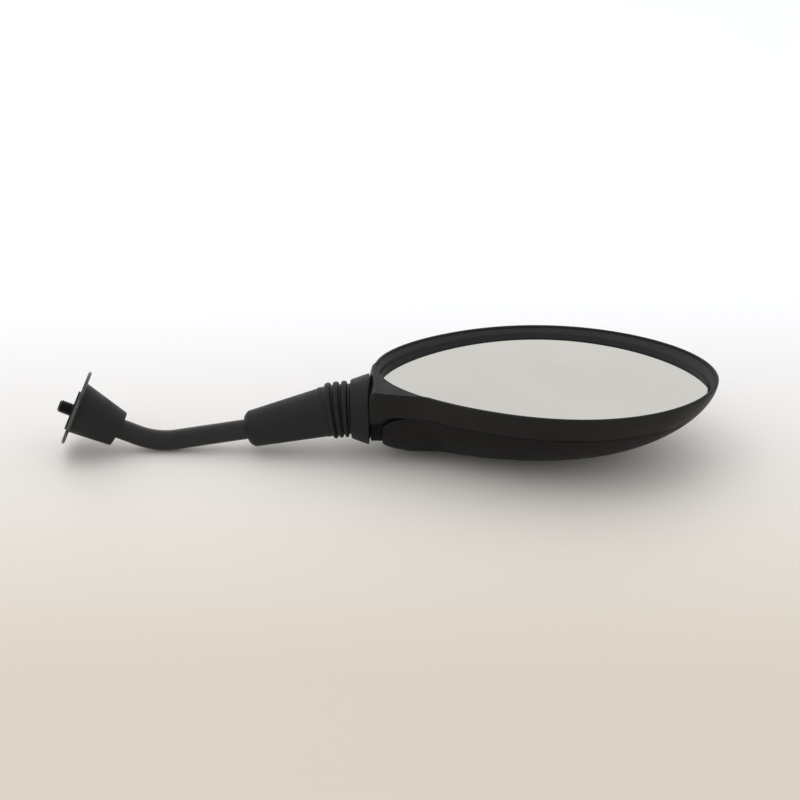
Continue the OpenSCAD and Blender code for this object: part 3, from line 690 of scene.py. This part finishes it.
stub = turned("neck_stub", [[stub_start, stub_r - 0.5], [stub_start + 0.2, stub_r - 0.1],
                            [stub_start + 0.5, stub_r], [stub_end, stub_r]], ball_centre, (1, 0, 0))
stub_top = (ball_centre[2] + rim_rise - floor_depth - floor_t / 2) * MM
for corner in stub.data.vertices:
    corner.co.z = min(corner.co.z, stub_top)
plug_start, plug_r = 16.7, 17.4
plug = turned("neck_plug", [[plug_start, plug_r - 0.4], [plug_start + 0.3, plug_r],
                            [stub_start - 0.3, plug_r]], ball_centre, (1, 0, 0))
neck_screw_at, neck_screw_back, far_screws_at, screw_spread = 33.0, 8.2, 28.0, 28.0
screw_places = np.array([[rim_start + neck_screw_at, head_shift - neck_screw_back],
                         [head_reach + far_screws_at, keel_shift + screw_spread],
                         [head_reach + far_screws_at, keel_shift - screw_spread]])
boss_top, boss_len, boss_r, thread_hole_r = rim_rise - floor_depth - floor_t, 14.0, 5.2, 2.05
boss_end = boss_len + 0.5
boss_profile = [[0, thread_hole_r], [0, boss_r], [boss_end, boss_r], [boss_end, thread_hole_r],
                [0, thread_hole_r]]
bosses = [turned("screw_boss_%d" % i, boss_profile, ball_centre + [x, y, boss_top - boss_len], (0, 0, 1), 48)
          for i, (x, y) in enumerate(screw_places)]
# The stub, the plug and the bosses take the darkest black: painted shade for the deep shade they lie in.
for part in [stub, plug] + bosses:
    part.data.materials.append(shade_black)
    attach(part, "head")
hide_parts("front_shell")
print("turned shapes:", 2 + len(bosses))

# %% [markdown]
# ## Rear cover
#
# The lower moulding closes the belly. Its outer skin runs from the shut line to the lowest point,
# and its inner skin runs back up. Toward the neck it ends in a round face behind the stub. A hole
# through a curved wall has an edge that no grid line follows, so the three wells for the screws are
# the work of boolean modifiers.
#
# As the file stands, these cuts open nothing, and the skin is closed over the wells. The faces of the
# cutters point inward, and a difference with such a cutter takes nothing away. With the cutters'
# faces turned outward the wells open.

# %% Rear cover surface
def cover_rings(t):
    """Rings from the keel up the inner skin, over the edge and down the outer skin.

    Both skins stop a little before the keel, where a flat cap closes them.
    """
    outside, inside = head_depth, head_depth - cover_wall
    edge = shut_depth(t, step_gap) + split_gap

    def depth(part, total):
        begin = np.arcsin(edge / total)
        return total * np.sin(begin + (np.pi / 2 - begin) * part)

    inner_stop, outer_stop, edge_inset = 0.985, 0.992, 0.2
    inner = [cover_push(skin(t, depth(part, inside), 0.0, cover_wall), cover_wall)
             for part in np.linspace(inner_stop, 0, 30)]
    outer = [cover_push(skin(t, depth(part, outside))) for part in np.linspace(0, outer_stop, 56)]
    outer[0] = cover_push(skin(t, edge + 0.02, edge_inset), edge_inset)
    return np.stack(inner + outer) + ball_centre


cover = add_grid("housing_rear", cover_rings(angles), flip=False, sharp=50)


def cut_with(piece, cutter):
    """Apply a boolean difference with a cutter, whose faces have to point outward to cut."""
    mod = piece.modifiers.new("cut", "BOOLEAN")
    mod.operation, mod.solver, mod.object = "DIFFERENCE", "EXACT", cutter
    bpy.context.view_layer.objects.active = piece
    with bpy.context.temp_override(object=piece, active_object=piece, selected_objects=[piece]):
        bpy.ops.object.modifier_apply(modifier=mod.name)
    bpy.data.objects.remove(cutter, do_unlink=True)


seat_t, well_r, hole_r, below = 2.5, 3.9, 2.2, -60
seat_z = boss_top - boss_len - seat_t
for x, y in screw_places:
    cut_with(cover, turned("well", [[below, 0.2], [below, well_r], [seat_z, well_r], [seat_z, 0.2]],
                           ball_centre + [x, y, 0], (0, 0, 1), 64))
cover.data.shade_smooth()
cover.data.set_sharp_from_angle(angle=np.radians(40))
cover.data.materials.clear()
# The cover's darker black is painted shade.
cover.data.materials.append(belly_black_painted_shade)
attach(cover, "head")
print("rear cover faces:", len(cover.data.polygons))

# %% [markdown]
# ## Wells and screws
#
# Each screw sits at the bottom of a round well, on a small seat. The well's wall is a short tube
# whose mouth ends inside the cover's wall. The screw is a pan head with a cross recess: its top is
# a dome whose height drops inside a plus-shaped outline, so it is again a grid of rings.

# %% Wells
def belly_z(x, y):
    """Lowest skin height over a point: solve the skin for the depth by bisection."""
    t = np.linspace(0, 360, 721)[:-1]
    low, high = 16.0, head_depth - 0.01
    for _ in range(40):
        mid = (low + high) / 2
        ring = skin(t, mid + 0 * t)
        vx, vy = ring[:, 0], ring[:, 1]
        nx, ny = np.roll(vx, -1), np.roll(vy, -1)
        cross = (vy > y) != (ny > y)
        hit = cross & (x < (nx - vx) * (y - vy) / np.where(ny == vy, 1e-9, ny - vy) + vx)
        low, high = (mid, high) if hit.sum() % 2 else (low, mid)
    return rim_rise - low


wells = []
for i, (x, y) in enumerate(screw_places):
    z_open = max(belly_z(x + well_r * cosd(a), y + well_r * sind(a)) for a in range(0, 360, 30))
    tube_end = z_open + 0.6
    profile_well = [[tube_end, well_r], [tube_end, boss_r], [seat_z + seat_t, boss_r],
                    [seat_z + seat_t, hole_r], [seat_z, hole_r], [seat_z, well_r], [tube_end, well_r]]
    wells.append(turned("screw_well_%d" % i, profile_well, ball_centre + [x, y, 0], (0, 0, 1), 64))
# The wells take the cover's darker black, which is painted shade.
for part in wells:
    part.data.materials.append(belly_black_painted_shade)
    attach(part, "head")
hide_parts("rear_cover")

# %% Screws
pan_r, pan_t, dome_r, dome_rise, edge_drop = 3.5, 2.4, 3.3, 0.35, 0.12
cross_reach, cross_half, cross_depth, cross_corner = 2.1, 0.5, 1.3, 0.3
shank_size, screw_len, screw_pitch, screw_cut = 2.0, 12, 0.7, 0.3
thread_from, thread_to, point_from, point_slope = 0.8, 11.6, 11.4, 0.8


def screw(name, x, y):
    """Pan head with a cross recess below the seat, and a shank with a rounded thread above."""
    sides = 96
    b = np.linspace(0, 360, sides, endpoint=False)[None, :]
    r = np.r_[np.linspace(0.05, dome_r, 40), pan_r - 0.05, pan_r, pan_r, shank_size][:, None]
    drop = np.r_[np.zeros(40), edge_drop, 0.5, pan_t, pan_t][:, None]
    dome = dome_rise * (np.minimum(r, dome_r) / dome_r) ** 2
    along, across = np.abs(r * cosd(b)), np.abs(r * sind(b))
    arm = np.maximum(along - 0.45, 0) * np.maximum(across - 0.45, 0)
    inside = np.clip(1 - np.minimum(along, across) / cross_half, 0, 1) ** 0.3
    recess = cross_depth * inside * np.clip((cross_reach - r) / 0.5, 0, 1) * (arm < cross_corner)
    side = (drop - edge_drop).clip(0) * (pan_t - dome.max()) / (pan_t - edge_drop)
    z = seat_z - pan_t + np.where(drop > 0, dome.max() + side, dome + recess)
    head = np.stack(np.broadcast_arrays(x + r * cosd(b), y + r * sind(b), z), axis=-1)
    length = np.linspace(0, screw_len, 121)[:, None]
    wave = np.abs(2 * ((length / screw_pitch - b / 360) % 1) - 1)
    shank_r = (shank_size - screw_cut * wave * (length > thread_from) * (length < thread_to)
               - np.clip(length - point_from, 0, 1) * point_slope)
    shank = np.broadcast_arrays(x + shank_r * cosd(b), y + shank_r * sind(b), seat_z + length)
    shank = np.stack(shank, axis=-1)
    return add_grid(name, np.vstack([head, shank]) + ball_centre, flip=False, sharp=40)


for node, (x, y) in zip(("cover_screw_neck", "cover_screw_far", "cover_screw_near"), screw_places):
    piece = screw(node + "_cross", x, y)
    piece.data.materials.append(zinc_plate)
    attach(piece, "head")
    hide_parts(node)
print("screws stand", round(float(seat_z), 2), "mm above the ball's level")

# %% [markdown]
# ## The glass
#
# A motorcycle mirror is slightly convex, so that it shows a wide view in a small glass. The front
# is a cap of a very large sphere with a small ground bevel at its edge. The silver is on the back of
# the glass, but a mirror finish on the front looks the same from every side.

# %% Glass surface
glass_depth, glass_r, glass_t, glass_gap, bevel = 3.5, 1400.0, 1.7, 0.4, 0.35
glass_inset = shell_wall + glass_gap


def glass_rings(t):
    """Front cap from the middle out, a bevel, the edge, and the back from the edge in."""
    rim_low = (rim_xy(t)[0] - head_reach) ** 2 + (rim_xy(t)[1] - head_shift) ** 2
    rim = skin(t, glass_depth + glass_t + rim_low / (2 * glass_r), glass_inset)

    def at(k, z):
        ring = toward_middle(rim, k)
        low = ((ring[:, 0] - head_reach) ** 2 + (ring[:, 1] - head_shift) ** 2) / (2 * glass_r)
        return np.stack([ring[:, 0], ring[:, 1], z - low], axis=-1)

    top = rim_rise - glass_depth
    front_rows = [at(k, top) for k in np.linspace(0.01, 0.995, 40)]
    edge_rows = [at(1.0, top - bevel), at(1.0, top - glass_t)]
    back_rows = [at(k, top - glass_t) for k in (0.9, 0.6, 0.3, 0.01)]
    return np.stack(front_rows + edge_rows + back_rows) + ball_centre


glass = add_grid("mirror_face", glass_rings(angles), flip=False, sharp=25)
silver, tree, shader, place = new_finish("silver")
tint = spread(tree, noise(tree, place, 22, 3), 0.3, 0.7, 0, 1)
tinted = blend_colours(tree, tint, (0.585, 0.570, 0.532), (0.615, 0.602, 0.568))
tree.links.new(tinted, shader.inputs["Base Color"])
shader.inputs["Metallic"].default_value = 1.0
tree.links.new(spread(tree, noise(tree, place, 140, 6), 0.35, 0.75, 0.02, 0.07), shader.inputs["Roughness"])
glass.data.materials.append(silver)
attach(glass, "head")
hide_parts("mirror_glass")

# %% [markdown]
# ## Table, light and camera
#
# The picture was taken on a pale table in wide, soft light, so the shadows are faint and only the
# table right under the head is dark. The table is warm near the camera and washes out to white with
# distance; that bluish white is painted light, the glow of the window behind laid into the table's
# colour. The sky of the scene is a little brighter behind the object than in front of it, one
# large lamp hangs above and behind, and a weaker one hangs above on the left.

# %% Table
table_z = -26.4
half, near_y, far_y = 6.0, -0.22, 0.24
table_mesh = bpy.data.meshes.new("table")
table_mesh.from_pydata([(-half, -half, table_z * MM), (half, -half, table_z * MM),
                        (half, half, table_z * MM), (-half, half, table_z * MM)], [], [(0, 1, 2, 3)])
table = bpy.data.objects.new("table", table_mesh)
bpy.context.scene.collection.objects.link(table)
table_mat, tree, shader, place = new_finish("table_top")
split = tree.nodes.new("ShaderNodeSeparateXYZ")
tree.links.new(place, split.inputs["Vector"])
# Painted light: the table fades from its warm colour to a bluish white toward the window.
far = spread(tree, split.outputs["Y"], near_y, far_y, 0, 1)
colour = blend_colours(tree, far, (0.69, 0.62, 0.53), (0.95, 0.965, 1.0))
tree.links.new(colour, shader.inputs["Base Color"])
shader.inputs["Roughness"].default_value = 0.5
shader.inputs["Specular IOR Level"].default_value = 0.25
table_mesh.materials.append(table_mat)

# %% Sky
world = bpy.data.worlds.new("window_sky")
bpy.context.scene.world = world
world.use_nodes = True
tree = world.node_tree
background = tree.nodes["Background"]
place = tree.nodes.new("ShaderNodeTexCoord")
split = tree.nodes.new("ShaderNodeSeparateXYZ")
tree.links.new(place.outputs["Generated"], split.inputs["Vector"])
toward_window = spread(tree, split.outputs["Y"], -0.75, 0.65, 0.0, 1.0)
sky_colour = blend_colours(tree, toward_window, (0.74, 0.735, 0.73), (1.0, 1.0, 1.0))
tree.links.new(sky_colour, background.inputs["Color"])
background.inputs["Strength"].default_value = 1.0


# %% Lamps
def soft_lamp(name, place_m, toward_m, size_m, watts, colour=(1, 1, 1)):
    """A square area lamp aimed at a point."""
    data = bpy.data.lights.new(name, "AREA")
    data.size, data.energy, data.color = size_m, watts, colour
    lamp = bpy.data.objects.new(name, data)
    lamp.location = place_m
    lamp.rotation_euler = (Vector(toward_m) - Vector(place_m)).to_track_quat("-Z", "Y").to_euler()
    lamp.visible_glossy = False
    bpy.context.scene.collection.objects.link(lamp)
    return lamp


soft_lamp("window", (0.0, 0.9, 1.9), (0.15, 0.0, 0.0), 2.4, 9, (0.98, 0.99, 1.0))
soft_lamp("ceiling", (-0.7, -0.3, 1.7), (0.1, 0.0, 0.0), 1.4, 3)

# %% Camera
camera_data = bpy.data.cameras.new("camera")
camera_data.lens, camera_data.sensor_width = 70.0, 36.0
camera = bpy.data.objects.new("camera", camera_data)
bpy.context.scene.collection.objects.link(camera)
target = Vector((0.1944, 0.0, 0.0067))
reach, rise = 0.9178, 27.0
camera.location = target + Vector((0, -reach * float(cosd(rise)), reach * float(sind(rise))))
camera.rotation_euler = (target - camera.location).to_track_quat("-Z", "Y").to_euler()
bpy.context.scene.camera = camera
bpy.context.scene.view_settings.view_transform = "Standard"
print("camera at", [round(v, 4) for v in camera.location])
